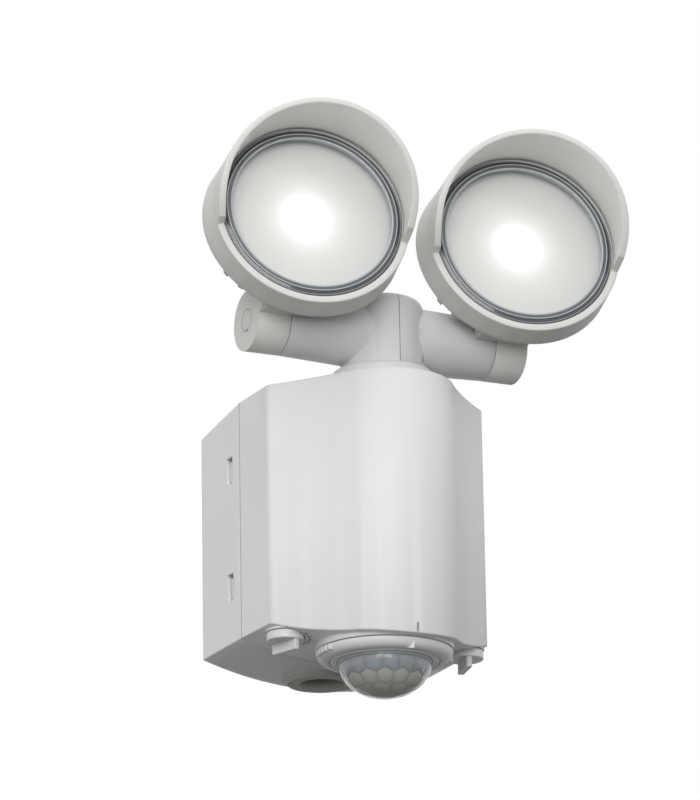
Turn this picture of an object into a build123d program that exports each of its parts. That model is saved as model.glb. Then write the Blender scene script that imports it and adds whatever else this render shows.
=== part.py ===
from build123d import *
from math import cos, radians, sin, sqrt
import os

# Wall light with two lamps on a T-shaped post over a motion sensor housing.
# X runs right, Y into the wall, Z up. The origin is on the wall face, in the middle,
# level with the housing's two bottom corners.

# ---- housing ----
wall_width = 104.0          # side walls at the wall
seam_width = 103.6          # side walls at the seam
shoulder_width = 102.0      # front cover at its shoulders
side_height = 104.3         # bottom corner to top corner
bottom_sag = 8.6            # the underside bows down by this in the middle
top_crown = 2.9             # the top bows up by this in the middle
rear_depth = 40.0           # wall to the seam of the front cover
shoulder_depth = 68.0       # wall to the shoulders
nose_depth = 73.0           # wall to the centre of the round nose
nose_radius = 32.0
nose_half_width = 22.6      # where the nose runs into the flutes
flute_sag = 1.8             # how hollow each flute is
shoulder_round = 3.0
rear_top_fall = 5.3         # the rear top slopes down to the wall
wall = 2.4
back_wall = 3.0
seam_lip = 3.0              # the rear lip enters the front cover by this
lip_wall = 1.5
fit_gap = 0.2               # between fixed pieces that slide together
run_gap = 0.3               # between pieces that move past each other
shaft_gap = 0.06            # radial, shaft in its bore
seal_inset = 0.7            # housing face to the seal's groove
seal_width = 1.0
seal_height = 1.4
window_width = 5.5
window_height = 12.0
window_depth = 29.5         # wall to the middle of each clip window
window_round = 2.6
clip_heights = (24.7, 76.5)  # middles of the clip windows
clip_width = 9.0
clip_thickness = 1.6
screw_spacing = 70.0        # wall screws, left to right
screw_height = 52.0
screw_hole_radius = 2.25
screw_boss_radius = 5.5
screw_boss_height = 4.0
entry_side = -4.0           # cable entry, from the middle
entry_depth = 17.5          # cable entry, from the wall
entry_radius = 9.7
grommet_radius = 17.0
grommet_lip_radius = 15.6
grommet_neck = 12.0
grommet_bottom = -10.5
grommet_top = -3.0
grommet_inner_radius = 14.0

# ---- boards inside the housing ----
board_thickness = 1.6
driver_width = 52.0
driver_height = 60.0
driver_middle = 62.0
driver_stand = 6.0          # back wall to the driver board
pillar_radius = 2.6
transformer = (24.0, 16.0, 20.0)
relay = (12.0, 14.0, 18.0)
capacitor_radius = 6.0
capacitor_height = 18.0
terminal_size = (34.0, 12.0, 13.0)
terminal_bottom = 8.0
terminal_ways = 3
terminal_pitch = 9.0
terminal_hole = 2.2
control_width = 92.0
control_depth = 8.0
control_bottom = 11.0
control_post = 28.0
pot_size = 8.0
pot_height = 7.0

# ---- post and arms ----
post_depth = 75.0           # wall to the post's axis and to the arms' axis
collar_radius = 22.0
collar_height = 5.5
collar_edge = 1.5
post_radius = 18.0
post_height = 38.0          # collar's foot to the post's top
post_edge = 5.0
arm_height = 22.1           # collar's foot to the arms' axis
arm_root_radius = 15.0
arm_end_radius = 13.2
arm_reach = 48.3            # post axis to the seam with the knuckle
bulkhead = 4.0
post_wall = 2.4
spigot_radius = 15.9
spigot_bore = 11.5
spigot_length = 10.0
top_pad_radius = 21.0
top_pad_height = 4.0        # crest to the pad's lower face
clip_ring_radius = 19.0
clip_ring_thickness = 1.6
clip_groove = 1.6           # depth of the groove for the clip ring
hub_screw_side = 10.5
hub_screw_rise = 3.2        # above the collar
hub_screw_boss = 3.9
hub_screw_head = 2.2
hub_screw_shank = 1.25
hub_screw_seat = 10.0

# ---- knuckles and necks ----
knuckle_end = 63.5          # post axis to the knuckle's end face
journal_radius = 8.6
washer_radius = 10.2
washer_thickness = 2.0
bolt_radius = 2.5
bolt_head_radius = 4.2
bolt_head_height = 2.4
bolt_length = 13.0
plug_radius = 4.7
plug_depth = 1.8
neck_offset = 50.2          # post axis to the pan axis, sideways
neck_rise = 40.0            # elevation of the pan axis
neck_face = 22.0            # arm axis to the swivel face, along the pan axis
neck_radius = 15.9
neck_inner = 38.0           # the neck reaches in to this distance from the post axis
neck_top = 12.0
neck_drop = 15.8
arm_clear = 14.0            # the neck keeps this far from the arm's axis beside the arm
pin_radius = 5.0
pin_length = 6.9
pan_washer_radius = 7.0
pan_washer_thickness = 1.0
pan_screw_head = 4.0
pan_screw_height = 2.2
pan_screw_shank = 2.0

# ---- lamp heads ----
lens_along = 51.3           # arm axis to the rim's centre, along the pan axis
lens_above = 10.0           # and square to it
lamp_pitch = 8.0            # optical axis above level, with the pan at zero
pan_rest = -17.0            # pan angle of the stored pose
rim_radius = 42.9
hood_radius = 42.4
back_radius = 44.0
bore_radius = 39.9
back_middle = 21.5          # rim to the back, at the middle
back_slope = 0.163          # the back falls away towards the top
back_round = 4.0
cup_wall = 2.6
cavity_radius = 36.2
ledge_depth = 8.5
hood_low = -10.0            # the hood leaves the rim here, up from the middle
# hood edge from the rim to the top: forward of the rim, up from the middle
hood_curve = ((5.0, -8.6), (11.0, 3.0), (15.6, 18.0), (20.0, 32.0), (23.4, 47.0))
chin_radius = 17.0
chin_floor = 16.0
cup_boss_radius = 12.0
cup_boss_height = 3.7
inner_boss_radius = 9.0
inner_boss_height = 6.2
pan_clear_radius = 8.2
fin_pitch = 7.0
fin_count = 9
fin_thickness = 2.0
fin_height = 4.0
fin_low = -37.0
fin_high = 18.0
fin_round = 40.5
seal_radius = 39.5
seal_thickness = 1.0
lens_thickness = 2.0
ring_outer = 39.7
ring_inner = 34.6
ring_thickness = 3.9
led_board_radius = 14.0
led_board_thickness = 1.4
led_board_lift = 2.0
led_board_depth = 11.4
led_radius = 8.0
led_thickness = 1.2

# ---- motion sensor ----
sensor_depth = 72.0         # wall to the sensor's axis
boss_radius = 29.4
boss_bottom = -9.0
boss_top = -3.0
turret_radius = 29.0
turret_height = 4.1
turret_edge = 24.2
turret_neck = 21.0
turret_step = 19.0
turret_step_height = 3.2
seat_radius = 23.5
seat_depth = 2.5
turret_bore = 16.5
board_bore = 18.5
board_bore_depth = 4.9
dome_radius = 20.0
dome_height = 15.5
dome_wall = 1.0
dome_flange = 23.2
dome_ring_outer = 23.2
dome_ring_drop = 0.4
turret_ring_radius = 24.0
sensor_board_radius = 18.3
can_radius = 4.6
can_height = 4.2
grip_count = 5
grip_angle = 6.0
grip_radius = 28.4
grip_size = (2.6, 1.3, 2.6)

# ---- knobs ----
knob_side = 42.0
knob_depth = 63.4
knob_radius = 8.0
knob_well_gap = 0.4
knob_seat = -2.5
knob_drum = 3.7
knob_edge = 0.6
knob_shaft = 3.0
knob_shaft_top = 10.0
blade_height = 4.5
blade_thickness = 2.6
knob_pad = 4.0
time_blade_angle = 79.0
light_blade_angle = 108.0

os.makedirs("parts", exist_ok=True)
crest = side_height + top_crown
keel = -bottom_sag
collar_foot = crest + run_gap
collar_top = collar_foot + collar_height
post_top = collar_foot + post_height
arm_z = collar_foot + arm_height
front = nose_depth + nose_radius
big = 3 * wall_width


def finish(builder, name):
    """Label a finished piece and write it."""
    builder.part.label = name
    export_step(builder.part, "parts/" + name + ".step")


def slab(near, far):
    """A block over the housing's whole width and height, between two depths from the wall."""
    with BuildPart() as block:
        with BuildSketch(Plane.XZ.offset(near)):
            Rectangle(big, big)
        extrude(amount=far - near)
    return block.part


def disc(plane, low, high, radius, hole=0.0):
    """A round plate or ring square to the plane's normal."""
    with BuildPart() as plate:
        with BuildSketch(plane.offset(low)):
            Circle(radius)
            if hole:
                Circle(hole, mode=Mode.SUBTRACT)
        extrude(amount=high - low)
    return plate.part


def plan_outline(inset):
    """The housing seen from above, walls moved in by inset."""
    nose_side = sqrt(nose_radius**2 - nose_half_width**2)
    root = (nose_half_width, -nose_depth - nose_side)
    shoulder = (shoulder_width / 2, -shoulder_depth)
    run = Vector(*root) - Vector(*shoulder)
    outward = Vector(-run.Y, run.X).normalized()
    hollow = (Vector(*root) + Vector(*shoulder)) / 2 - outward * flute_sag
    with BuildSketch() as outline:
        with BuildLine():
            Polyline((0, 0), (wall_width / 2, 0), (seam_width / 2, -rear_depth), shoulder)
            ThreePointArc(shoulder, hollow, root)
            RadiusArc(root, (0, -front), nose_radius)
            mirror(about=Plane.YZ)
        make_face()
        corners = outline.vertices().filter_by(lambda v: abs(v.Y + shoulder_depth) < 0.01)
        fillet(corners, shoulder_round)
        if inset:
            offset(amount=-inset, kind=Kind.INTERSECTION)
    return outline.sketch


def end_outline(plane, half_width, inset, fall=0.0):
    """The housing seen from the front: straight sides, bowed top and underside."""
    with BuildSketch(plane) as outline:
        with BuildLine():
            Line((-half_width, 0), (-half_width, side_height - fall))
            ThreePointArc((-half_width, side_height - fall), (0, crest - fall),
                          (half_width, side_height - fall))
            Line((half_width, side_height - fall), (half_width, 0))
            ThreePointArc((half_width, 0), (0, keel), (-half_width, 0))
        make_face()
        if inset:
            offset(amount=-inset, kind=Kind.INTERSECTION)
    return outline.sketch


def front_form(inset):
    """The housing's form in front of the seam, carried straight back to the wall."""
    with BuildPart() as form:
        with BuildSketch(Plane.XY.offset(keel - wall)):
            add(plan_outline(inset))
        extrude(amount=crest - keel + 2 * wall)
        end = end_outline(Plane.XZ, wall_width / 2, inset)
        ahead = extrude(end, amount=front + wall, dir=(0, -1, 0), mode=Mode.PRIVATE)
        add(ahead, mode=Mode.INTERSECT)
    return form.part


def rear_form(inset):
    """The housing's form behind the seam, its top sloping down to the wall."""
    with BuildPart() as form:
        add(end_outline(Plane.XZ, wall_width / 2, inset, rear_top_fall))
        add(end_outline(Plane.XZ.offset(rear_depth), seam_width / 2, inset))
        loft(ruled=True)
    return form.part


lip_inset = wall + fit_gap
lip_inner = front_form(lip_inset + lip_wall)
seal_loop = front_form(seal_inset) - front_form(seal_inset + seal_width)
cover_hollow = front_form(wall)
windows = [(sx, z) for sx in (-1, 1) for z in clip_heights]
entry = Plane((entry_side, -entry_depth, 0))
sensor = Plane((0, -sensor_depth, 0))
post = Plane((0, -post_depth, 0))
knob_places = [Plane((sx * knob_side, -knob_depth, 0)) for sx in (-1, 1)]

with BuildPart() as rear_housing:
    add(rear_form(0))
    add(rear_form(wall) & slab(back_wall, rear_depth + wall), mode=Mode.SUBTRACT)
    add((front_form(wall / 2) - lip_inner) & slab(rear_depth - wall, rear_depth))
    add((front_form(lip_inset) - lip_inner) & slab(rear_depth, rear_depth + seam_lip))
    with BuildSketch(Plane.XZ.offset(back_wall - 0.5)):
        with Locations((-screw_spacing / 2, screw_height), (screw_spacing / 2, screw_height)):
            Circle(screw_boss_radius)
    extrude(amount=screw_boss_height + 0.5)
    with BuildSketch(Plane.XZ.offset(back_wall - 0.5)):
        with Locations((0, driver_middle)):
            with GridLocations(driver_width - 10, driver_height - 10, 2, 2):
                Circle(pillar_radius)
    extrude(amount=driver_stand + 0.5)
    with BuildSketch(Plane.XZ.offset(-wall)):
        with Locations((-screw_spacing / 2, screw_height), (screw_spacing / 2, screw_height)):
            Circle(screw_hole_radius)
    extrude(amount=rear_depth, mode=Mode.SUBTRACT)
    add(disc(entry, keel - wall, grommet_top, grommet_neck), mode=Mode.SUBTRACT)
    add(disc(sensor, keel, side_height / 2, boss_radius + fit_gap), mode=Mode.SUBTRACT)
    for sx, z in windows:
        face = Plane(origin=(sx * (wall_width / 2 - 2 * wall), -window_depth, z),
                     x_dir=(0, 1, 0), z_dir=(sx, 0, 0))
        with BuildSketch(face) as window:
            Rectangle(window_width, window_height)
            fillet(window.vertices().group_by(Axis.Y)[-1], window_round)
        extrude(amount=3 * wall, mode=Mode.SUBTRACT)
        with Locations((sx * (wall_width / 2 - 2 * wall), -rear_depth - seam_lip / 2, z)):
            Box(2.6 * wall, 3 * seam_lip, clip_width + 1, mode=Mode.SUBTRACT)
finish(rear_housing, "rear_housing")

with BuildPart() as front_cover:
    add(front_form(0) & slab(rear_depth, front + wall))
    add(cover_hollow & slab(rear_depth - wall, front), mode=Mode.SUBTRACT)
    add(disc(sensor, boss_bottom, boss_top, boss_radius))
    for place in knob_places:
        add(disc(place, knob_seat, knob_seat + knob_pad, knob_radius) & front_form(0))
        add(disc(place, knob_seat, knob_seat + 1, knob_radius + knob_well_gap))
        add(disc(place, keel, knob_seat, knob_radius + knob_well_gap), mode=Mode.SUBTRACT)
        add(disc(place, keel, 2 * knob_pad, knob_shaft + shaft_gap), mode=Mode.SUBTRACT)
    for sx in (-1, 1):
        add(disc(Plane((sx * control_post, -knob_depth, 0)), keel / 2, control_bottom, pillar_radius))
    add(disc(sensor, keel - wall, boss_top + wall, turret_neck + shaft_gap), mode=Mode.SUBTRACT)
    add(disc(post, crest - top_pad_height, crest - wall / 2, top_pad_radius))
    add(disc(post, crest - 2 * top_pad_height, crest + wall, spigot_radius + shaft_gap),
        mode=Mode.SUBTRACT)
    add(seal_loop & slab(rear_depth - wall, rear_depth + seal_height), mode=Mode.SUBTRACT)
    with Locations((0, -front, keel + 1.2)):
        Box(1.0, 1.6, 6.0, mode=Mode.SUBTRACT)
    for sx, z in windows:
        tongue_x = sx * (wall_width / 2 - wall - run_gap - clip_thickness / 2)
        with Locations((tongue_x, -(window_depth + rear_depth + 6) / 2, z)):
            Box(clip_thickness, rear_depth + 6 - window_depth + 5, clip_width)
        with Locations((tongue_x + sx * 0.5, -rear_depth - 6.5, z)):
            Box(clip_thickness + 1, 5, clip_width)
        with Locations((tongue_x + sx * 1.5, -window_depth, z)):
            Box(clip_thickness, window_width - 1.6, clip_width)
finish(front_cover, "front_cover")

with BuildPart() as cover_seal:
    add(seal_loop & slab(rear_depth, rear_depth + seal_height))
finish(cover_seal, "cover_seal")

with BuildPart() as cable_grommet:
    with BuildSketch(Plane(origin=entry.origin, x_dir=(1, 0, 0), z_dir=(0, -1, 0))):
        with BuildLine():
            Polyline((entry_radius, grommet_bottom), (grommet_lip_radius - 0.8, grommet_bottom),
                     (grommet_lip_radius, grommet_bottom + 0.8), (grommet_radius, keel),
                     (grommet_radius, -6.0), (grommet_inner_radius, -6.0),
                     (grommet_inner_radius, grommet_top), (entry_radius, grommet_top), close=True)
        make_face()
    revolve(axis=Axis(entry.origin, (0, 0, 1)))
    add(rear_form(0) & slab(back_wall, rear_depth) - rear_form(wall) - disc(
        entry, keel - wall, grommet_top, grommet_neck), mode=Mode.SUBTRACT)
    add(rear_form(0) & slab(-wall, back_wall), mode=Mode.SUBTRACT)
    add(rear_form(wall) & disc(entry, keel, grommet_top, 2 * grommet_radius,
                               grommet_inner_radius), mode=Mode.SUBTRACT)
finish(cable_grommet, "cable_grommet")

with BuildPart() as driver_board:
    with BuildSketch(Plane.XZ.offset(back_wall + driver_stand)):
        with Locations((0, driver_middle)):
            Rectangle(driver_width, driver_height)
    extrude(amount=board_thickness)
    board_face = -(back_wall + driver_stand + board_thickness)
    with Locations((-10, board_face - transformer[1] / 2, driver_middle + 14)):
        Box(*transformer)
    with Locations((14, board_face - relay[1] / 2, driver_middle - 12)):
        Box(*relay)
    with BuildSketch(Plane.XZ.offset(-board_face)):
        with Locations((16, driver_middle + 16), (-12, driver_middle - 14)):
            Circle(capacitor_radius)
    extrude(amount=capacitor_height)
finish(driver_board, "driver_board")

with BuildPart() as terminal_block:
    with Locations((0, -back_wall - terminal_size[1] / 2, terminal_bottom + terminal_size[2] / 2)):
        Box(*terminal_size)
    with BuildSketch(Plane.XY.offset(terminal_bottom)):
        with Locations((0, -back_wall - terminal_size[1] / 2)):
            with GridLocations(terminal_pitch, 1, terminal_ways, 1):
                Circle(terminal_hole)
    extrude(amount=terminal_size[2] / 2, mode=Mode.SUBTRACT)
finish(terminal_block, "terminal_block")

with BuildPart() as control_board:
    with Locations((0, -knob_depth, control_bottom + board_thickness / 2)):
        Box(control_width, control_depth, board_thickness)
finish(control_board, "control_board")

with BuildPart() as potentiometers:
    for place in knob_places:
        with Locations((place.origin.X, -knob_depth, control_bottom - pot_height / 2)):
            Box(pot_size, pot_size, pot_height)
        add(disc(place, control_bottom - pot_height, knob_shaft_top + run_gap,
                 knob_shaft + shaft_gap), mode=Mode.SUBTRACT)
finish(potentiometers, "potentiometers")

# ---- post with two arms, in two shells that meet in the middle ----


def post_form(inset, foot, reach):
    """The post and its two arms, or their hollow when inset by the wall."""
    with BuildPart() as form:
        with BuildSketch(Plane.XY.offset(foot)):
            with Locations((0, -post_depth)):
                Circle(post_radius - inset)
        extrude(amount=post_top - inset - foot)
        fillet(form.faces().sort_by(Axis.Z)[-1].edges(), post_edge - inset)
        for sx in (-1, 1):
            with Locations((sx * reach / 2, -post_depth, arm_z)):
                Cone(arm_root_radius - inset, arm_end_radius - inset, reach, rotation=(0, sx * 90, 0))
    return form.part


hub_form = post_form(0, collar_top, arm_reach)
hub_hollow = post_form(post_wall, collar_top - collar_height, arm_reach - bulkhead)
arm_line = Plane(origin=(0, -post_depth, arm_z), x_dir=(0, 1, 0), z_dir=(1, 0, 0))
hub_screws_at = [Plane(origin=(0, -post_depth + y, collar_top + hub_screw_rise),
                       x_dir=(0, 1, 0), z_dir=(1, 0, 0))
                 for y in (-hub_screw_side, hub_screw_side)]
hub_bosses = [disc(place, -post_radius, post_radius, hub_screw_boss) & hub_form
              for place in hub_screws_at]


def hub_shell(sx):
    """One half of the post with its arm."""
    with BuildPart() as shell:
        add(hub_form - hub_hollow)
        for boss in hub_bosses:
            add(boss)
        with Locations((sx * big / 2, -post_depth, arm_z)):
            Box(big, big, big, mode=Mode.INTERSECT)
        add(disc(arm_line, -big / 2, big / 2, journal_radius + shaft_gap)
            & disc(arm_line, sx * (arm_reach - bulkhead / 2) - bulkhead,
                   sx * (arm_reach - bulkhead / 2) + bulkhead, arm_root_radius),
            mode=Mode.SUBTRACT)
        for place in hub_screws_at:
            add(disc(place, -hub_screw_seat, hub_screw_seat, hub_screw_shank), mode=Mode.SUBTRACT)
            add(disc(place, hub_screw_seat, big / 2, hub_screw_head + fit_gap), mode=Mode.SUBTRACT)
    return shell


groove_top = crest - top_pad_height - run_gap
with BuildPart() as collar:
    add(disc(post, collar_foot, collar_top, collar_radius))
    fillet(collar.faces().sort_by(Axis.Z)[-1].edges(), collar_edge)

with BuildPart() as hub_shell_left:
    add(hub_shell(-1).part)
    add(collar.part)
    add(disc(post, collar_foot - spigot_length, collar_foot, spigot_radius))
    add(disc(post, groove_top - clip_ring_thickness, groove_top, big, spigot_radius - clip_groove),
        mode=Mode.SUBTRACT)
    add(disc(post, collar_foot - spigot_length, collar_top, spigot_bore), mode=Mode.SUBTRACT)
finish(hub_shell_left, "hub_shell_left")
hub_shell_right = hub_shell(1)
finish(hub_shell_right, "hub_shell_right")

with BuildPart() as hub_screws:
    for place in hub_screws_at:
        add(disc(place, -hub_screw_seat, hub_screw_seat, hub_screw_shank))
        add(disc(place, hub_screw_seat, hub_screw_seat + 1.8, hub_screw_head))
finish(hub_screws, "hub_screws")

with BuildPart() as swivel_clip:
    add(disc(post, groove_top - clip_ring_thickness, groove_top, clip_ring_radius,
             spigot_radius - clip_groove))
finish(swivel_clip, "swivel_clip")

# ---- knuckles, necks and lamp heads ----
rise = radians(neck_rise)
tip = radians(lamp_pitch)
pan_dir = Vector(0, -cos(rise), sin(rise))
pan_up = Vector(0, sin(rise), cos(rise))
SIDES = (("left", -1), ("right", 1))


def pan_plane(sx):
    """Square to the pan axis, at the arm's axis."""
    return Plane(origin=(sx * neck_offset, -post_depth, arm_z), x_dir=(1, 0, 0), z_dir=pan_dir)


def lamp_plane(sx):
    """The rim's plane in the stored pose, normal forward, second axis up."""
    turn = Axis((0, 0, 0), pan_dir)
    centre = pan_dir * lens_along + pan_up.rotate(turn, pan_rest) * lens_above
    return Plane(origin=pan_plane(sx).origin + centre,
                 x_dir=Vector(1, 0, 0).rotate(turn, pan_rest),
                 z_dir=Vector(0, -cos(tip), sin(tip)).rotate(turn, pan_rest))


def make_bracket(sx):
    """Knuckle on the arm's end with the neck that carries a lamp head."""
    seam = arm_reach + run_gap
    pan = pan_plane(sx)
    face = pan_dir * neck_face
    low = face - pan_up * neck_drop
    high = face + pan_up * neck_top
    with BuildPart() as bracket:
        start = neck_inner if sx > 0 else -knuckle_end
        with BuildSketch(Plane(origin=(start, -post_depth, arm_z), x_dir=(0, 1, 0),
                               z_dir=(1, 0, 0))):
            with BuildLine():
                Polyline((0, 0), (-arm_end_radius, 0), (low.Y, low.Z), (high.Y, high.Z),
                         (2.0, arm_end_radius - 0.2), close=True)
            make_face()
        extrude(amount=knuckle_end - neck_inner)
        add(disc(pan, -neck_face, neck_face, neck_radius), mode=Mode.INTERSECT)
        inboard = sorted((sx * neck_inner / 2, sx * seam))
        add(disc(arm_line, inboard[0], inboard[1], arm_clear), mode=Mode.SUBTRACT)
        ends = sorted((sx * seam, sx * knuckle_end))
        add(disc(arm_line, ends[0], ends[1], arm_end_radius))
        ends = sorted((sx * (arm_reach - bulkhead - run_gap), sx * seam))
        add(disc(arm_line, ends[0], ends[1], journal_radius))
        add(disc(pan, neck_face - 1, neck_face + pin_length, pin_radius))
        ends = sorted((sx * (knuckle_end - plug_depth), sx * (knuckle_end + 1)))
        add(disc(arm_line, ends[0], ends[1], plug_radius), mode=Mode.SUBTRACT)
        ends = sorted((sx * bolt_start, sx * (bolt_start + bolt_length)))
        add(disc(arm_line, ends[0], ends[1], bolt_radius), mode=Mode.SUBTRACT)
        pin_top = neck_face + pin_length
        add(disc(pan, pin_top - 6, pin_top, pan_screw_shank), mode=Mode.SUBTRACT)
    return bracket


bolt_start = arm_reach - bulkhead - run_gap
for side, sx in SIDES:
    pan = pan_plane(sx)
    pin_top = neck_face + pin_length
    finish(make_bracket(sx), "bracket_" + side)

    with BuildPart() as friction_washer:
        ends = sorted((sx * (bolt_start - washer_thickness), sx * bolt_start))
        add(disc(arm_line, ends[0], ends[1], washer_radius, bolt_radius))
    finish(friction_washer, "friction_washer_" + side)

    with BuildPart() as pivot_bolt:
        seat = bolt_start - washer_thickness
        ends = sorted((sx * seat, sx * (bolt_start + bolt_length)))
        add(disc(arm_line, ends[0], ends[1], bolt_radius))
        ends = sorted((sx * (seat - bolt_head_height), sx * seat))
        add(disc(arm_line, ends[0], ends[1], bolt_head_radius))
    finish(pivot_bolt, "pivot_bolt_" + side)

    with BuildPart() as knuckle_plug:
        ends = sorted((sx * (knuckle_end - plug_depth), sx * knuckle_end))
        add(disc(arm_line, ends[0], ends[1], plug_radius))
        with Locations((sx * knuckle_end, -post_depth, arm_z - plug_radius)):
            Box(1.6, 1.6, 1.6, mode=Mode.SUBTRACT)
    finish(knuckle_plug, "knuckle_plug_" + side)

    with BuildPart() as pan_washer:
        add(disc(pan, pin_top, pin_top + pan_washer_thickness, pan_washer_radius,
                 pan_screw_shank))
    finish(pan_washer, "pan_washer_" + side)

    with BuildPart() as pan_screw:
        add(disc(pan, pin_top - 6, pin_top + pan_washer_thickness, pan_screw_shank))
        add(disc(pan, pin_top + pan_washer_thickness,
                 pin_top + pan_washer_thickness + pan_screw_height, pan_screw_head))
    finish(pan_screw, "pan_screw_" + side)


def back_line(up, lift=0.0):
    """Point on the cup's back, seen from the side: (forward, up)."""
    return (-back_middle - back_slope * up + lift, up)


def side_cut(lamp, points, curve=()):
    """A block over the head's width, from an outline seen from the side."""
    with BuildPart() as block:
        with BuildSketch(Plane(origin=lamp.origin, x_dir=lamp.z_dir, z_dir=-lamp.x_dir)):
            with BuildLine():
                Polyline(*points)
                if curve:
                    Spline(points[-1], *curve)
                    Line(curve[-1], points[0])
                else:
                    Line(points[-1], points[0])
            make_face()
        extrude(amount=2 * back_radius, both=True)
    return block.part


def fin_comb(lamp):
    """Upright plates in a row behind the rim, trimmed to a circle."""
    with BuildPart() as comb:
        with BuildSketch(lamp.offset(-45)):
            with GridLocations(fin_pitch, 1, fin_count, 1):
                Rectangle(fin_thickness, 2 * back_radius)
            Circle(fin_round, mode=Mode.INTERSECT)
        extrude(amount=45)
    return comb.part


def make_cup(sx):
    """Round lamp cup with its slanted hood, cooling fins and swivel boss."""
    lamp = lamp_plane(sx)
    pan = pan_plane(sx)
    high = back_radius + 2
    comb = fin_comb(lamp)
    with BuildPart() as cup:
        with BuildSketch(Plane(origin=lamp.origin, x_dir=lamp.x_dir, z_dir=-lamp.y_dir)):
            with BuildLine():
                Polyline((0, -40), (back_radius, -40), (back_radius, -20), (rim_radius, 0),
                         (hood_radius, 25), (0, 25), close=True)
            make_face()
        revolve(axis=Axis(lamp.origin, lamp.z_dir))
        add(side_cut(lamp, (back_line(high), back_line(-high), (0, -high), (0, hood_low)),
                     hood_curve), mode=Mode.INTERSECT)
        back = cup.faces().filter_by(GeomType.PLANE).sort_by(Axis(lamp.origin, lamp.z_dir))[0]
        fillet(back.edges(), back_round)
        fins = side_cut(lamp, (back_line(fin_low, 1), back_line(fin_low, 2 - fin_height),
                               back_line(fin_low + 4, -fin_height),
                               back_line(fin_high - 4, -fin_height), back_line(fin_high, 1)))
        add(comb & fins)
        add(disc(pan, -10, neck_face + run_gap, chin_radius), mode=Mode.SUBTRACT)
        add(disc(pan, -40, chin_floor, big / 2), mode=Mode.SUBTRACT)
        add(disc(pan, neck_face + run_gap, neck_face + cup_boss_height, cup_boss_radius))
        hollow = disc(lamp, -45, -ledge_depth, cavity_radius) & side_cut(
            lamp, (back_line(high, cup_wall), back_line(-high, cup_wall), (1, -high), (1, high)))
        hollow -= disc(pan, 0, neck_face + run_gap + cup_wall, chin_radius + cup_wall)
        hollow -= disc(pan, 0, neck_face + inner_boss_height, inner_boss_radius)
        hollow -= disc(Plane(origin=lamp.origin + lamp.y_dir * led_board_lift, z_dir=lamp.z_dir),
                       -45, -led_board_depth, led_board_radius - 1)
        add(hollow, mode=Mode.SUBTRACT)
        add(disc(lamp, -ledge_depth, 40, bore_radius), mode=Mode.SUBTRACT)
        add(disc(pan, neck_face + inner_boss_height, neck_face + 14, pan_clear_radius),
            mode=Mode.SUBTRACT)
        add(disc(pan, neck_face, neck_face + 14, pin_radius + shaft_gap), mode=Mode.SUBTRACT)
    return cup


for side, sx in SIDES:
    lamp = lamp_plane(sx)
    finish(make_cup(sx), "lamp_cup_" + side)

    with BuildPart() as lens_seal:
        add(disc(lamp, -ledge_depth, -ledge_depth + seal_thickness, seal_radius, cavity_radius))
    finish(lens_seal, "lens_seal_" + side)

    lens_back = -ledge_depth + seal_thickness
    lens_front = lens_back + lens_thickness
    with BuildPart() as lens:
        add(disc(lamp, lens_back, lens_front, seal_radius))
    finish(lens, "lens_" + side)

    with BuildPart() as lens_ring:
        with BuildSketch(Plane(origin=lamp.origin, x_dir=lamp.x_dir, z_dir=-lamp.y_dir)):
            with BuildLine():
                Polyline((ring_inner, lens_front), (ring_outer, lens_front),
                         (ring_outer, lens_front + ring_thickness),
                         (ring_inner + 2, lens_front + ring_thickness),
                         (ring_inner, lens_front + ring_thickness - 2), close=True)
            make_face()
        revolve(axis=Axis(lamp.origin, lamp.z_dir))
    finish(lens_ring, "lens_ring_" + side)

    with BuildPart() as led_board:
        spot = Plane(origin=lamp.origin + lamp.y_dir * led_board_lift, z_dir=lamp.z_dir)
        board_front = -led_board_depth + led_board_thickness
        add(disc(spot, -led_board_depth, board_front, led_board_radius))
        add(disc(spot, board_front, board_front + led_thickness, led_radius))
    finish(led_board, "led_board_" + side)

# ---- motion sensor ----
turret_top = boss_bottom - run_gap
turret_bottom = turret_top - turret_height
seat_face = turret_bottom + seat_depth
step = boss_top + run_gap
side_view = Plane(origin=sensor.origin, x_dir=(1, 0, 0), z_dir=(0, -1, 0))
sensor_axis = Axis(sensor.origin, (0, 0, 1))

with BuildPart() as sensor_turret:
    with BuildSketch(side_view):
        with BuildLine():
            Polyline((seat_radius, turret_bottom), (seat_radius, seat_face),
                     (board_bore, seat_face), (board_bore, seat_face + board_bore_depth),
                     (turret_bore, seat_face + board_bore_depth),
                     (turret_bore, step + turret_step_height),
                     (turret_step, step + turret_step_height), (turret_step, step),
                     (turret_neck, step), (turret_neck, turret_top), (turret_radius, turret_top),
                     (turret_radius, turret_top - 0.6))
            ThreePointArc((turret_radius, turret_top - 0.6), (27.6, turret_bottom + 1.1),
                          (turret_edge, turret_bottom))
            Line((turret_edge, turret_bottom), (seat_radius, turret_bottom))
        make_face()
    revolve(axis=sensor_axis)
    for centre in (0, 180):
        for n in range(grip_count):
            angle = radians(centre + (n - (grip_count - 1) / 2) * grip_angle)
            spot = (grip_radius * cos(angle), -sensor_depth + grip_radius * sin(angle),
                    turret_top - grip_size[2] / 2 - 0.2)
            with Locations(Location(spot, (0, 0, centre + (n - (grip_count - 1) / 2) * grip_angle))):
                Box(*grip_size)
finish(sensor_turret, "sensor_turret")

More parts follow.
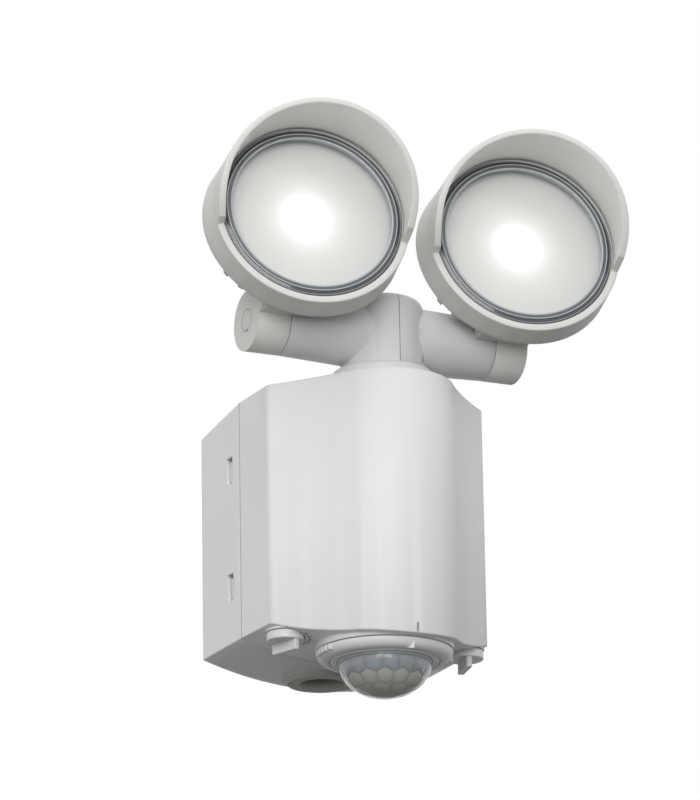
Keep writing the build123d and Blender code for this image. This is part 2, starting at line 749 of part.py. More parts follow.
with BuildPart() as sensor_dome:
    with BuildSketch(side_view):
        with BuildLine():
            Line((0, turret_bottom - dome_height), (0, turret_bottom - dome_height + dome_wall))
            EllipticalCenterArc((0, turret_bottom), dome_radius - dome_wall,
                                dome_height - dome_wall, 270, arc_size=90)
            Polyline((dome_radius - dome_wall, turret_bottom), (dome_radius - dome_wall, seat_face),
                     (dome_flange, seat_face), (dome_flange, seat_face - 1),
                     (dome_radius, seat_face - 1), (dome_radius, turret_bottom))
            EllipticalCenterArc((0, turret_bottom), dome_radius, dome_height, 270, arc_size=90)
        make_face()
    revolve(axis=sensor_axis)
finish(sensor_dome, "sensor_dome")

with BuildPart() as dome_ring:
    with BuildSketch(side_view):
        with BuildLine():
            Polyline((dome_radius + 0.1, seat_face - 1), (dome_ring_outer, seat_face - 1),
                     (dome_ring_outer, turret_bottom + 0.2),
                     (dome_ring_outer - 0.6, turret_bottom - dome_ring_drop),
                     (dome_radius + 0.1, turret_bottom - dome_ring_drop), close=True)
        make_face()
    revolve(axis=sensor_axis)
finish(dome_ring, "dome_ring")

with BuildPart() as turret_clip:
    add(disc(sensor, step, step + turret_step_height - 0.6, turret_ring_radius, turret_step))
finish(turret_clip, "turret_clip")

board_seat = seat_face + board_bore_depth
with BuildPart() as sensor_board:
    add(disc(sensor, board_seat - board_thickness, board_seat, sensor_board_radius))
finish(sensor_board, "sensor_board")

with BuildPart() as pyro_sensor:
    can_top = board_seat - board_thickness
    add(disc(sensor, can_top - can_height, can_top, can_radius))
    with Locations((0, -sensor_depth, can_top - can_height)):
        Box(4.0, 3.0, 0.6, mode=Mode.SUBTRACT)
finish(pyro_sensor, "pyro_sensor")

# ---- setting knobs ----
drum_top = knob_seat - run_gap
drum_bottom = drum_top - knob_drum
for place, name, angle in ((knob_places[0], "light_knob", light_blade_angle),
                           (knob_places[1], "time_knob", time_blade_angle)):
    with BuildPart() as knob:
        add(disc(place, drum_bottom, drum_top, knob_radius))
        fillet(knob.faces().sort_by(Axis.Z)[0].edges(), knob_edge)
        add(disc(place, drum_top, knob_shaft_top, knob_shaft))
        with BuildSketch(Plane(origin=(place.origin.X, -knob_depth, drum_bottom - blade_height))):
            with Locations(Location((0, 0), angle)):
                RectangleRounded(2 * knob_radius - 1.2, blade_thickness, 0.8)
        extrude(amount=blade_height + 0.1)
    finish(knob, name)
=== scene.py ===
import math

import bmesh
import bpy
import numpy as np
from mathutils import Matrix, Vector


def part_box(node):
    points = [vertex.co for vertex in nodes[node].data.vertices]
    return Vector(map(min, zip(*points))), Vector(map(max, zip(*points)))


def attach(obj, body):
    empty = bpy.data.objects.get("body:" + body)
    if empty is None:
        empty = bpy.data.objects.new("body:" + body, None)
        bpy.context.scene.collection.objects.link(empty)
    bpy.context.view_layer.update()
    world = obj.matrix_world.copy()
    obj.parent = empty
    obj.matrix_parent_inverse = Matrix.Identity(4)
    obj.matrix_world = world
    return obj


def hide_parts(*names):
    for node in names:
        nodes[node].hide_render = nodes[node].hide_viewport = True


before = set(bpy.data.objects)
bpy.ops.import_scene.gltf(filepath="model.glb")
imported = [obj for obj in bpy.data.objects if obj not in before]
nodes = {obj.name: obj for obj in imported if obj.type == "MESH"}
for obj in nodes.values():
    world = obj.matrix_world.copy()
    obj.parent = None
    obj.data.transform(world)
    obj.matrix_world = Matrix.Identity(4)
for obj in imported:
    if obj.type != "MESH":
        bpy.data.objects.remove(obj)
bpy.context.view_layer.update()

scene = bpy.context.scene

# ---- camera and studio ----
# A long lens from below on the left, as a product photograph is taken, in a white studio with a
# pale floor, one large soft key light, one above and a weak one at the side.
film_height = 36.0
focal_pixels = 5352
picture_height = 800
camera_distance = 2.3
bounce_grey = 0.22
floor_reach = 7
floor_height = -2.2
scene.view_settings.view_transform = "Standard"
azimuth, elevation, roll = (math.radians(a) for a in (25.35, 17.31, -1.0))
sight = Vector((math.sin(azimuth) * math.cos(elevation),
                math.cos(azimuth) * math.cos(elevation), math.sin(elevation)))
level = Vector((math.cos(azimuth), -math.sin(azimuth), 0.0))
upward = level.cross(sight)
right = math.cos(roll) * level + math.sin(roll) * upward
up = -math.sin(roll) * level + math.cos(roll) * upward
target = Vector((-0.00846, -0.060, 0.105))
camera_data = bpy.data.cameras.new("camera")
camera_data.sensor_fit = "VERTICAL"
camera_data.sensor_height = film_height
camera_data.lens = film_height * focal_pixels / picture_height
camera_data.clip_end = 20.0
camera = bpy.data.objects.new("camera", camera_data)
turn = Matrix((right, up, -sight)).transposed().to_4x4()
camera.matrix_world = Matrix.Translation(target - camera_distance * sight) @ turn
scene.collection.objects.link(camera)
scene.camera = camera


def sheet_of_paper(name, corners, colour, bounced):
    """A flat stage sheet of plain paper: its colour as seen, and the grey that it bounces."""
    mesh = bpy.data.meshes.new(name)
    mesh.from_pydata(corners, [], [(0, 1, 2, 3)])
    sheet = bpy.data.objects.new(name, mesh)
    paper = bpy.data.materials.new(name)
    paper.use_nodes = True
    shader = paper.node_tree.nodes["Principled BSDF"]
    shader.inputs["Roughness"].default_value = 0.9
    rays = paper.node_tree.nodes.new("ShaderNodeLightPath")
    either = paper.node_tree.nodes.new("ShaderNodeMix")
    either.data_type = "RGBA"
    either.inputs[6].default_value = (*bounced, 1)
    either.inputs[7].default_value = (*colour, 1)
    paper.node_tree.links.new(rays.outputs["Is Camera Ray"], either.inputs[0])
    paper.node_tree.links.new(either.outputs[2], shader.inputs["Base Color"])
    mesh.materials.append(paper)
    scene.collection.objects.link(sheet)


def soft_light(name, place, size, watts):
    """A square area light that looks at the middle of the object."""
    data = bpy.data.lights.new(name, "AREA")
    data.size = size
    data.energy = watts
    light = bpy.data.objects.new(name, data)
    light.location = place
    aim = Vector((0, -0.06, 0.1)) - Vector(place)
    light.rotation_euler = aim.to_track_quat("-Z", "Y").to_euler()
    scene.collection.objects.link(light)


floor_corners = [(x * floor_reach, y * floor_reach, floor_height)
                 for x, y in ((-1, -1), (1, -1), (1, 1), (-1, 1))]
sheet_of_paper("floor", floor_corners, (0.80, 0.80, 0.79), (bounce_grey, bounce_grey, bounce_grey))
soft_light("key", (-1.0, -2.0, 0.35), 1.6, 31)
soft_light("top", (-0.5, -0.5, 1.9), 1.0, 9)
soft_light("side", (-1.9, 0.1, 0.5), 0.9, 1)
world = bpy.data.worlds.new("studio")
world.use_nodes = True
studio = world.node_tree
studio.nodes["Background"].inputs["Color"].default_value = (1.0, 1.0, 1.0, 1)
rays = studio.nodes.new("ShaderNodeLightPath")
seen = None
for kind in ("Is Camera Ray", "Is Glossy Ray", "Is Transmission Ray"):
    either = studio.nodes.new("ShaderNodeMath")
    either.operation = "MAXIMUM"
    studio.links.new(rays.outputs[kind], either.inputs[0])
    if seen:
        studio.links.new(seen.outputs["Value"], either.inputs[1])
    seen = either
level_of_white = studio.nodes.new("ShaderNodeMapRange")
level_of_white.inputs["To Min"].default_value = bounce_grey
level_of_white.inputs["To Max"].default_value = 1.0
studio.links.new(seen.outputs["Value"], level_of_white.inputs["Value"])
studio.links.new(level_of_white.outputs["Result"], studio.nodes["Background"].inputs["Strength"])
scene.world = world

# ---- housing ----
# A snap-together box of glossy light grey plastic: a rear tray that screws to the wall and a
# front cover with a round nose between two hollow flutes. Its faces show faint mould grain.


def moulded(name, colour, rough, grain, depth, gloss=0.0, tone=0.04, metal=0.0, corner=0.0004):
    """Plastic or paint: slow tone drift, a grain of that size and depth (m), soft corners (m)."""
    material = bpy.data.materials.new(name)
    material.use_nodes = True
    tree = material.node_tree
    shader = tree.nodes["Principled BSDF"]
    shader.inputs["Metallic"].default_value = metal
    shader.inputs["Specular IOR Level"].default_value = 0.35
    shader.inputs["Coat Weight"].default_value = gloss
    shader.inputs["Coat Roughness"].default_value = 0.12
    place = tree.nodes.new("ShaderNodeTexCoord")
    drift = tree.nodes.new("ShaderNodeTexNoise")
    drift.inputs["Scale"].default_value = 35.0
    drift.inputs["Detail"].default_value = 3.0
    ramp = tree.nodes.new("ShaderNodeValToRGB")
    ramp.color_ramp.elements[0].position = 0.3
    ramp.color_ramp.elements[1].position = 0.7
    ramp.color_ramp.elements[0].color = (*[c * (1 - tone) for c in colour], 1)
    ramp.color_ramp.elements[1].color = (*colour, 1)
    polish = tree.nodes.new("ShaderNodeMapRange")
    polish.inputs["To Min"].default_value = rough * 0.85
    polish.inputs["To Max"].default_value = rough * 1.15
    bumps = tree.nodes.new("ShaderNodeTexNoise")
    bumps.inputs["Scale"].default_value = 1.0 / grain
    bumps.inputs["Detail"].default_value = 4.0
    bump = tree.nodes.new("ShaderNodeBump")
    bump.inputs["Distance"].default_value = depth
    bump.inputs["Strength"].default_value = 0.6
    link = tree.links.new
    link(place.outputs["Object"], drift.inputs["Vector"])
    link(place.outputs["Object"], bumps.inputs["Vector"])
    link(drift.outputs["Fac"], ramp.inputs["Fac"])
    link(drift.outputs["Fac"], polish.inputs["Value"])
    link(ramp.outputs["Color"], shader.inputs["Base Color"])
    link(polish.outputs["Result"], shader.inputs["Roughness"])
    link(bumps.outputs["Fac"], bump.inputs["Height"])
    link(bump.outputs["Normal"], shader.inputs["Normal"])
    rounding = tree.nodes.new("ShaderNodeBevel")
    rounding.samples = 4
    rounding.inputs["Radius"].default_value = corner
    link(rounding.outputs["Normal"], bump.inputs["Normal"])
    return material


def dress(name, material, edge=0.0, angle=35):
    """Gives a CAD node its material, welded smooth faces and a small rounded edge (m)."""
    node = nodes[name]
    node.data.materials.clear()
    node.data.materials.append(material)
    weld = node.modifiers.new("weld", "WELD")
    weld.merge_threshold = 0.00001
    if edge:
        bevel = node.modifiers.new("edge", "BEVEL")
        bevel.width = edge
        bevel.segments = 2
        bevel.limit_method = "ANGLE"
        bevel.angle_limit = math.radians(angle)
        bevel.harden_normals = True


def axis_value(material, axis):
    """The object coordinate along X, Y or Z (m), as an output of the material's nodes."""
    tree = material.node_tree
    place = tree.nodes.new("ShaderNodeTexCoord")
    split = tree.nodes.new("ShaderNodeSeparateXYZ")
    tree.links.new(place.outputs["Object"], split.inputs["Vector"])
    return split.outputs[axis]


def math_node(material, operation, first, second, third=0.0):
    """One Math node of that operation over outputs or numbers, and its output."""
    tree = material.node_tree
    node = tree.nodes.new("ShaderNodeMath")
    node.operation = operation
    for socket, value in zip(node.inputs, (first, second, third)):
        if isinstance(value, float):
            socket.default_value = value
        else:
            tree.links.new(value, socket)
    return node.outputs["Value"]


def score(material, mask, shade):
    """Shows an open joint: the colour is multiplied by shade where mask is 1."""
    tree = material.node_tree
    base = tree.nodes["Principled BSDF"].inputs["Base Color"]
    mix = tree.nodes.new("ShaderNodeMix")
    mix.data_type = "RGBA"
    mix.blend_type = "MULTIPLY"
    tree.links.new(mask, mix.inputs[0])
    tree.links.new(base.links[0].from_socket, mix.inputs[6])
    mix.inputs[7].default_value = (shade, shade, shade, 1)
    tree.links.new(mix.outputs[2], base)


housing_look = {"colour": (0.71, 0.716, 0.72), "rough": 0.45, "grain": 0.0011,
                "depth": 0.000012, "corner": 0.0012}
joint_shade = 0.30
seam_y, seam_half = -0.0400, 0.00018
notch_z, notch_half_height, notch_half_width = -0.00625, 0.00155, 0.0004
nose_y = -0.1000
housing_plastic = moulded("housing_plastic", **housing_look)
seam_plastic = moulded("seam_plastic", **housing_look)
seam = math_node(seam_plastic, "COMPARE", axis_value(seam_plastic, "Y"), seam_y, seam_half)
notch = math_node(seam_plastic, "COMPARE", axis_value(seam_plastic, "X"), 0.0, notch_half_width)
low_edge = math_node(seam_plastic, "COMPARE", axis_value(seam_plastic, "Z"), notch_z,
                     notch_half_height)
nose = math_node(seam_plastic, "LESS_THAN", axis_value(seam_plastic, "Y"), nose_y)
notch = math_node(seam_plastic, "MULTIPLY", notch,
                  math_node(seam_plastic, "MULTIPLY", low_edge, nose))
score(seam_plastic, math_node(seam_plastic, "MAXIMUM", seam, notch), joint_shade)
dress("rear_housing", seam_plastic, 0.0004)
dress("front_cover", seam_plastic, 0.0006)

# ---- seal and grommet ----
# Soft rubber: a black cord in the seam's groove, and a warm grey grommet round the cable hole.
black_rubber = moulded("black_rubber", (0.03, 0.03, 0.032), 0.7, 0.0006, 0.00003)
grey_rubber = moulded("grey_rubber", (0.42, 0.41, 0.385), 0.6, 0.0005, 0.00003)
dress("cover_seal", black_rubber)
dress("cable_grommet", grey_rubber, 0.0004)

# ---- post and arms ----
# Two satin shells that meet along the post's middle, on a round collar that turns on the cover.
post_look = {"colour": (0.60, 0.605, 0.595), "rough": 0.42, "grain": 0.0009,
             "depth": 0.00002, "gloss": 0.05}
split_half = 0.00016
collar_top, foot_half = 0.1130, 0.00014
split_start = 0.1129
post_plastic = moulded("post_plastic", **post_look)
hub_plastic = moulded("hub_plastic", **post_look)
split = math_node(hub_plastic, "COMPARE", axis_value(hub_plastic, "X"), 0.0, split_half)
above = math_node(hub_plastic, "GREATER_THAN", axis_value(hub_plastic, "Z"), split_start)
foot = math_node(hub_plastic, "COMPARE", axis_value(hub_plastic, "Z"), collar_top, foot_half)
right_half = math_node(hub_plastic, "GREATER_THAN", axis_value(hub_plastic, "X"), 0.0)
score(hub_plastic, math_node(hub_plastic, "MAXIMUM",
                             math_node(hub_plastic, "MULTIPLY", split, above),
                             math_node(hub_plastic, "MULTIPLY", foot, right_half)), joint_shade)
dress("hub_shell_left", hub_plastic, 0.0003)
dress("hub_shell_right", hub_plastic, 0.0003)

# ---- knuckles ----
# The turning ends of the arms, in the lamps' textured finish, each with a plain round plug.
lamp_look = {"colour": (0.655, 0.652, 0.625), "rough": 0.55, "grain": 0.00055, "depth": 0.00030}
knuckle_x, knuckle_y, knuckle_z = 0.0502, -0.075, 0.1296
plug_radius, plug_half = 0.00485, 0.00018
lamp_paint = moulded("lamp_paint", **lamp_look)
knuckle_paint = moulded("knuckle_paint", **lamp_look)
rise = math_node(knuckle_paint, "SUBTRACT", axis_value(knuckle_paint, "Z"), knuckle_z)
ahead = math_node(knuckle_paint, "SUBTRACT", axis_value(knuckle_paint, "Y"), knuckle_y)
radius = math_node(knuckle_paint, "SQRT", math_node(
    knuckle_paint, "ADD", math_node(knuckle_paint, "POWER", rise, 2.0),
    math_node(knuckle_paint, "POWER", ahead, 2.0)), 0.0)
score(knuckle_paint, math_node(knuckle_paint, "COMPARE", radius, plug_radius, plug_half), 0.35)
for side in ("left", "right"):
    dress("bracket_" + side, knuckle_paint, 0.0006)
    dress("knuckle_plug_" + side, post_plastic, 0.0003)

# ---- lamp cups ----
# Cast cups painted with a fine texture; ribs cool the back. The rim rises into a slanted hood,
# which reaches furthest at the upper right and lower on the left.


def grid_mesh(name, points, closed_rows=True):
    """Quads over a grid of points [rows, columns, 3]; columns wrap, rows wrap if closed_rows."""
    rows, columns = points.shape[:2]
    index = np.arange(rows * columns).reshape(rows, columns)
    last = rows if closed_rows else rows - 1
    here = index[:last]
    below = np.roll(index, -1, axis=0)[:last]
    quads = np.stack([here, np.roll(here, -1, axis=1), np.roll(below, -1, axis=1), below], -1)
    mesh = bpy.data.meshes.new(name)
    mesh.vertices.add(rows * columns)
    mesh.vertices.foreach_set("co", points.reshape(-1).astype(np.float32))
    corners = quads.reshape(-1).astype(np.int32)
    mesh.loops.add(len(corners))
    mesh.loops.foreach_set("vertex_index", corners)
    mesh.polygons.add(len(corners) // 4)
    mesh.polygons.foreach_set("loop_start", np.arange(0, len(corners), 4, dtype=np.int32))
    mesh.update(calc_edges=True)
    mesh.validate()
    return mesh


def put(name, mesh, material, body):
    """Makes the piece's object, smooth faced, riding on its body."""
    mesh.polygons.foreach_set("use_smooth", np.ones(len(mesh.polygons), dtype=bool))
    mesh.materials.append(material)
    piece = bpy.data.objects.new(name, mesh)
    scene.collection.objects.link(piece)
    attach(piece, body)
    return piece


def lamp_frame(side):
    """Rim centre (m) and the rim plane's right, up and forward directions, as part.py has them.

    Neutral directions are turned by the pan angle about the axis a = (0, -cos 40, sin 40)
    with Rodrigues' formula v cos p + (a x v) sin p + a (a.v)(1 - cos p).
    """
    rise, tip, pan = math.radians(40), math.radians(8), math.radians(-17)
    axis = np.array((0, -math.cos(rise), math.sin(rise)))
    cross_up = np.array((0, math.sin(rise), math.cos(rise)))

    def panned(v):
        return (v * math.cos(pan) + np.cross(axis, v) * math.sin(pan)
                + axis * axis.dot(v) * (1 - math.cos(pan)))

    forward = panned(np.array((0, -math.cos(tip), math.sin(tip))))
    across = panned(np.array((1.0, 0, 0)))
    knuckle = np.array((-knuckle_x if side == "left" else knuckle_x, knuckle_y, knuckle_z))
    centre = knuckle + axis * 0.0513 + panned(cross_up) * 0.010
    return centre, across, np.cross(forward, across), forward


def cup_behind_rim(side):
    """The CAD cup's own mesh, merged, and cut off square 0.5 mm behind the rim plane."""
    centre, _, _, forward = lamp_frame(side)
    shell = bmesh.new()
    shell.from_mesh(nodes["lamp_cup_" + side].data)
    bmesh.ops.remove_doubles(shell, verts=shell.verts, dist=0.00001)
    cut = bmesh.ops.bisect_plane(shell, geom=shell.verts[:] + shell.edges[:] + shell.faces[:],
                                 plane_co=centre - 0.0005 * forward, plane_no=forward,
                                 clear_outer=True)
    bmesh.ops.triangle_fill(shell, use_beauty=True, edges=[
        part for part in cut["geom_cut"] if isinstance(part, bmesh.types.BMEdge)])
    mesh = bpy.data.meshes.new("cup_" + side)
    shell.to_mesh(mesh)
    shell.free()
    return mesh


# degrees from the lamp's right, mm forward of the rim
hood_edge = ((1, 8), (10, 14.5), (20, 17.3), (30, 19.6), (40, 21.6), (50, 23.3), (60, 24.7),
             (75, 25.4), (90, 25.1), (100, 24.2), (110, 22.7), (120, 21.0), (135, 18.8),
             (150, 17.5), (165, 15.5), (180, 12.5), (193, 8.5), (204, 4.5))


def rim_and_hood(side, steps=1080):
    """Turned wall from 39.9 mm radius to 42.9 outside, with its front edge cut to a slant.

    At t degrees from the lamp's right, counted over the top, the edge stands forward of the rim
    plane by the sixth-degree curve fitted to hood_edge, from 8 mm at 1 degree over 25.4 mm at 75
    to 4.5 mm at 204. It steps up from the rim over 4 degrees at the right end and 2 at the left.
    Each column runs up the inside, round the 0.4 mm edge and down the outside.
    """
    centre, across, upward, forward = lamp_frame(side)
    t = np.linspace(0, 2 * np.pi, steps, endpoint=False)
    turned = (np.degrees(t) + 80) % 360 - 80
    degrees, reach = zip(*hood_edge)
    slant = np.polyfit(degrees, reach, 6)
    edge = (np.polyval(slant, np.clip(turned, 1, 204)) * np.clip((turned + 3) / 4, 0, 1)
            * np.clip((206 - turned) / 2, 0, 1))
    flat = np.ones((1, steps))
    rise = np.linspace(0, 1, 9)[:, None]
    inside = -0.5 + rise * (edge + 0.1)
    outside = inside[::-1]
    outer = np.interp(edge, (0, 26), (42.9, 42.4))[None]
    along = np.concatenate([-0.7 * flat, inside, edge[None] - 0.12, edge[None], edge[None],
                            edge[None] - 0.12, outside, -0.7 * flat]) / 1000
    radius = np.concatenate([40.05 * flat, 39.9 * np.ones_like(inside), 40.02 * flat,
                             40.3 * flat, outer - 0.4, outer - 0.12,
                             np.interp(outside, (-20, 0, 26), (44, 42.9, 42.4)),
                             42.79 * flat]) / 1000
    spoke = np.outer(np.cos(t), across) + np.outer(np.sin(t), upward)
    return centre + radius[..., None] * spoke[None] + along[..., None] * forward


for side in ("left", "right"):
    cup = put("cup_" + side, cup_behind_rim(side), lamp_paint, "head_" + side)
    cup.data.set_sharp_from_angle(angle=math.radians(32))
    hood = put("rim_and_hood_" + side, grid_mesh("rim_and_hood_" + side, rim_and_hood(side)),
               lamp_paint, "head_" + side)
    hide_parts("lamp_cup_" + side)
    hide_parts("lamp_cup_" + side)

# ---- lens rings ----
# Smoky clear plastic rings that clamp each lens. The bright lines at their small steps are
# painted highlights in the rows' greys, between dark smoky bands.


def lathe(profile, centre, across, upward, forward, steps):
    """Turned piece: centre + r (cos t across + sin t upward) + w forward, r and w in mm."""
    radius, along = np.array(profile).T / 1000
    t = np.linspace(0, 2 * np.pi, steps, endpoint=False)
    spoke = np.outer(np.cos(t), across) + np.outer(np.sin(t), upward)
    return centre + radius[:, None, None] * spoke[None] + along[:, None, None] * forward


def shade_points(mesh, tone):
    """Stores a grey or colour for each grid point in the attribute "tone"."""
    tone = np.broadcast_to(tone, (*tone.shape[:-1], 3)).reshape(-1, 3)
    shades = mesh.color_attributes.new("tone", "FLOAT_COLOR", "POINT")
    shades.data.foreach_set("color", np.column_stack([tone, np.ones(len(tone))]).reshape(-1)
                            .astype(np.float32))


def toned(material):
    """Takes the material's colour from the attribute "tone"."""
    tone = material.node_tree.nodes.new("ShaderNodeAttribute")
    tone.attribute_name = "tone"
    material.node_tree.links.new(
        tone.outputs["Color"], material.node_tree.nodes["Principled BSDF"].inputs["Base Color"])
    return material


ring_plastic = toned(moulded("ring_plastic", (0.1, 0.1, 0.1), 0.07, 0.002, 0.000005, gloss=1.0,
                             corner=0.0001))
ring_steps = 256
# radius (mm), forward of the rim (mm), grey; the pale greys are painted highlight lines
ring_profile_with_painted_highlights = [(36.6, -5.5, 0.30), (35.3, -1.4, 0.36), (34.9, -0.1, 0.44), (35.0, 0.15, 0.48),
                (35.7, 0.2, 0.38), (35.9, -0.1, 0.12), (36.9, -0.15, 0.09), (37.05, 0.3, 0.50),
                (37.4, 0.3, 0.50), (37.6, -0.3, 0.04), (38.7, -0.7, 0.05), (38.8, -0.4, 0.26),
                (39.1, -0.45, 0.30), (39.25, -1.0, 0.06), (39.7, -1.2, 0.06), (39.7, -5.5, 0.06)]
for side in ("left", "right"):
    ring = put("smoky_ring_" + side, grid_mesh("smoky_ring_" + side,
               lathe([corner[:2] for corner in ring_profile_with_painted_highlights], *lamp_frame(side), ring_steps)),
               ring_plastic, "head_" + side)
    # Row greys: dark smoky bands, and pale rows that are painted highlights at the steps; tinted a
    # little blue.
    shade_points(ring.data, np.tile(np.array(ring_profile_with_painted_highlights)[:, 2, None, None] * (0.94, 1.0, 1.06),
                                    (1, ring_steps, 1)))
    edges = ring.modifiers.new("edges", "BEVEL")
    edges.width = 0.0001
    edges.limit_method = "ANGLE"
    edges.harden_normals = True
    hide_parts("lens_ring_" + side)

# ---- lenses ----
# Frosted discs lit from behind: a small bright core that fades out over the milky plate.


core_radius, core_strength, halo_strength = 0.0075, 16.0, 1.6


def lit_lens(name, middle):
    """Milky plastic with a bright core of 7.5 mm radius and a halo that falls off round it."""
    material = bpy.data.materials.new(name)
    material.use_nodes = True
    tree = material.node_tree
    shader = tree.nodes["Principled BSDF"]
    shader.inputs["Roughness"].default_value = 0.22
    shader.inputs["Coat Weight"].default_value = 0.4
    shader.inputs["Emission Color"].default_value = (1.0, 1.0, 0.99, 1)
    place = tree.nodes.new("ShaderNodeTexCoord")
    reach = tree.nodes.new("ShaderNodeVectorMath")
    reach.operation = "DISTANCE"
    reach.inputs[1].default_value = middle
    glow = tree.nodes.new("ShaderNodeFloatCurve")
    glow.mapping.curves[0].points[0].location = (0.0, 1.0)
    glow.mapping.curves[0].points[1].location = (1.0, 0.0)
    for x, y in ((0.16, 0.85), (0.22, 0.40), (0.31, 0.20), (0.45, 0.10), (0.70, 0.03)):
        glow.mapping.curves[0].points.new(x, y)
    scale = tree.nodes.new("ShaderNodeMapRange")
    scale.inputs["From Max"].default_value = 0.04
    frost = tree.nodes.new("ShaderNodeTexNoise")
    frost.inputs["Scale"].default_value = 1500.0
    milk = tree.nodes.new("ShaderNodeValToRGB")
    milk.color_ramp.elements[0].color = (0.56, 0.572, 0.55, 1)
    milk.color_ramp.elements[1].color = (0.63, 0.642, 0.62, 1)
    link = tree.links.new
    link(place.outputs["Object"], reach.inputs[0])
    link(place.outputs["Object"], frost.inputs["Vector"])
    link(reach.outputs["Value"], scale.inputs["Value"])
    link(scale.outputs["Result"], glow.inputs["Value"])
    core = math_node(material, "LESS_THAN", reach.outputs["Value"], core_radius)
    halo = math_node(material, "MULTIPLY", glow.outputs["Value"], halo_strength)
    emission = math_node(material, "MULTIPLY_ADD", core, core_strength, halo)
    link(emission, shader.inputs["Emission Strength"])
    link(frost.outputs["Fac"], milk.inputs["Fac"])
    link(milk.outputs["Color"], shader.inputs["Base Color"])
    return material


for side in ("left", "right"):
    low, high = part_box("lens_" + side)
    _, across, upward, _ = lamp_frame(side)
    middle = (np.array(low) + high) / 2 - 0.0013 * across - 0.0006 * upward
    dress("lens_" + side, lit_lens("lit_lens_" + side, middle))

# ---- motion sensor ----
# A turning collar of the housing's plastic, with a ring that holds the faceted dome. A small
# white wedge on the collar points at the notch in the cover.
dress("sensor_turret", housing_plastic, 0.0003)
dress("dome_ring", housing_plastic, 0.0003)
print_white = moulded("print_white", (0.86, 0.86, 0.86), 0.4, 0.0008, 0.00001)


def wedge(points, body, name):
    """A flat-backed pointer from three corners on a surface and their raised ridge."""
    mesh = bpy.data.meshes.new(name)
    mesh.from_pydata(points, [], [(0, 1, 3), (1, 2, 3), (2, 0, 3), (0, 2, 1)])
    put(name, mesh, print_white, body)
    mesh.polygons.foreach_set("use_smooth", np.zeros(len(mesh.polygons), dtype=bool))


wedge([(-0.0023, -0.0968, -0.0132), (0.0023, -0.0968, -0.0132), (0.0, -0.1012, -0.0088),
       (0.0, -0.1002, -0.0140)], "sensor", "turret_pointer")

# ---- sensor dome ----
# A milky window of small lenses: tall panes round the base, two rows of rounder ones and a cap.
# Each pane is a shallow bulge between thin grooves, darkened towards them by painted shade.


def faceted_dome(columns=560, rows=140):
    """Half ellipsoid of radius 20 mm and height 15.5 mm, sunk by up to 0.25 mm between panes.

    A pane spans a = 0..1 across its share of the circle and b = 0..1 between its row's two
    latitudes; the groove depth is 0.25 mm times max(|2a-1|, |2b-1|)^4. The limits between
    the upper rows zigzag by 3.5 degrees so that those panes have six sides.
    """
    lat = np.linspace(0, np.pi / 2, rows)[:, None]
    lon = np.linspace(0, 2 * np.pi, columns, endpoint=False)[None]
    zigzag = np.abs((lon * 14 / (2 * np.pi)) % 1 * 2 - 1) * 7 - 3.5
    limits = [np.radians(v) for v in (3 + 0 * lon, 29 + zigzag, 51 - zigzag, 72 + 0 * lon,
                                      90 + 0 * lon)]
    counts = (16, 14, 8, 1)
    shifts = (0.3, 0.0, 0.25, 0.0)
    tones = ((0.27, 0.30, 0.32), (0.40, 0.39, 0.35), (0.38, 0.37, 0.34), (0.36, 0.36, 0.36))
    depth = np.zeros((rows, columns))
    tone = np.ones((rows, columns, 3)) * 0.5
    for n, (count, shift) in enumerate(zip(counts, shifts)):
        a = (lon * count / (2 * np.pi) + shift) % 1
        b = (lat - limits[n]) / (limits[n + 1] - limits[n])
        inside = (b >= 0) & (b <= 1)
        side = np.abs(2 * a - 1) if count > 1 else 0 * a
        groove = np.maximum(side, np.abs(2 * b - 1)) ** 4
        depth = np.where(inside, groove, depth)
        # Painted shade: the row's colour darkens by up to 22% towards the grooves between panes.
        shade = np.array(tones[n]) * (1 - 0.22 * groove[..., None])
        tone = np.where(inside[..., None], shade, tone)
    shrink = 1 - 0.00025 / 0.020 * depth * np.cos(lat) ** 0.3
    r = 0.020 * np.cos(lat) * shrink
    z = -0.0134 - 0.0155 * np.sin(lat) * shrink
    return np.stack([r * np.cos(lon), -0.072 + r * np.sin(lon), z + 0 * lon], -1), tone


points, tone = faceted_dome()
dome_mesh = grid_mesh("faceted_dome", points[::-1], closed_rows=False)
shade_points(dome_mesh, tone[::-1])
dome_plastic = toned(moulded("dome_plastic", (0.5, 0.5, 0.5), 0.16, 0.0012, 0.000008, 0.4))
dome = put("faceted_dome", dome_mesh, dome_plastic, "sensor")
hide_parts("sensor_dome")

# ---- setting knobs ----
# Two small dials with a grip blade under the housing's corners. Each has a white nub at the
# blade's end and a printed arc of plain ticks on the underside round it.
knob_plastic = moulded("knob_plastic", (0.62, 0.63, 0.63), 0.38, 0.0008, 0.00001)
print_grey = moulded("print_grey", (0.12, 0.12, 0.13), 0.5, 0.0008, 0.00001)
dial_x, dial_y = 0.042, -0.0634
nub_radius, nub_z = 0.0063, -0.01095


def underside(x):
    """Height (m) of the bowed underside: a circle through (0, -8.6) and (+-52, 0) mm."""
    big = (52**2 + 8.6**2) / (2 * 8.6) / 1000
    return big - 0.0086 - np.sqrt(big**2 - x**2)


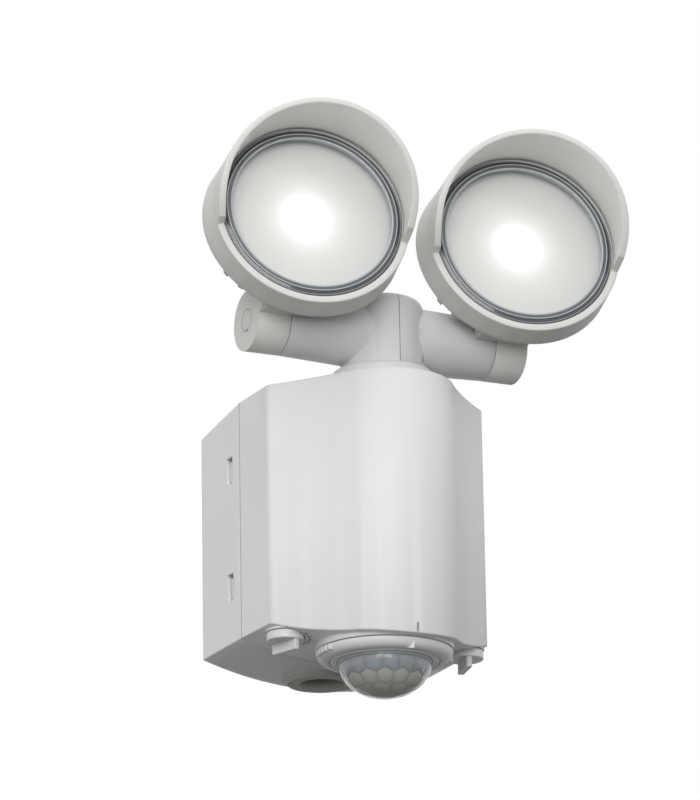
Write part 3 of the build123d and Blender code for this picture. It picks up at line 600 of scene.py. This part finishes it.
def dial_print(name, middle_x, start, end):
    """Arc ribbon at 9.9 to 10.3 mm and nine ticks out to 11.6 mm, 0.05 mm below the surface."""
    arc = np.radians(np.linspace(start, end, 49))
    strips = [np.stack([np.stack([r * np.cos(arc), r * np.sin(arc)], -1)
                        for r in (0.0099, 0.0103)])]
    for angle in np.radians(np.linspace(start, end, 9)):
        ray = np.array((np.cos(angle), np.sin(angle)))
        beside = np.array((-ray[1], ray[0])) * 0.00025
        reach = np.linspace(0.0103, 0.0116, 4)[:, None] * ray
        strips.append(np.stack([reach - beside, reach + beside]))
    points, faces, base = [], [], 0
    for strip in strips:
        count = strip.shape[1]
        n = np.arange(count - 1)
        faces.append(np.stack([base + n, base + n + 1, base + count + n + 1, base + count + n], -1))
        points.append(strip.reshape(-1, 2))
        base += 2 * count
    flat = np.concatenate(points) + (middle_x, dial_y)
    solid = np.column_stack([flat, underside(flat[:, 0]) - 0.00005])
    mesh = bpy.data.meshes.new(name)
    mesh.from_pydata(solid.tolist(), [], np.concatenate(faces).tolist())
    put(name, mesh, print_grey, "housing")


dial_print("light_scale", -dial_x, -60, 105)
dial_print("time_scale", dial_x, 75, 240)
dress("time_knob", knob_plastic, 0.0003)
dress("light_knob", knob_plastic, 0.0003)
for name, body, middle_x, turned in (("time_nub", "time_dial", dial_x, 79.0),
                                     ("light_nub", "light_dial", -dial_x, 108.0)):
    angle = math.radians(turned + 180)
    tip = Vector((middle_x + nub_radius * math.cos(angle), dial_y + nub_radius * math.sin(angle),
                  nub_z))
    along = Vector((math.cos(angle), math.sin(angle), 0)) * 0.0006
    across_nub = Vector((-math.sin(angle), math.cos(angle), 0)) * 0.0009
    wedge([tip - across_nub - along * 2, tip + across_nub - along * 2, tip + along,
           tip - Vector((0, 0, 0.00005))], body, name)

# ---- inner pieces ----
# Boards, terminals and fasteners that only show through the cable hole or when taken apart.
board_lacquer = moulded("board_lacquer", (0.03, 0.16, 0.07), 0.35, 0.003, 0.00002, 0.3)
white_plastic = moulded("white_plastic", (0.75, 0.75, 0.73), 0.4, 0.001, 0.00001)
zinc = moulded("zinc", (0.62, 0.61, 0.58), 0.35, 0.0006, 0.00001, tone=0.1, metal=1.0)
for name in ("driver_board", "control_board", "sensor_board"):
    dress(name, board_lacquer)
for name in ("terminal_block", "potentiometers", "turret_clip", "led_board_left",
             "led_board_right"):
    dress(name, white_plastic)
for name in ("hub_screws", "swivel_clip", "pyro_sensor"):
    dress(name, zinc)
for side in ("left", "right"):
    for piece in ("pivot_bolt_", "pan_washer_", "pan_screw_"):
        dress(piece + side, zinc)
    for piece in ("friction_washer_", "lens_seal_"):
        dress(piece + side, black_rubber)
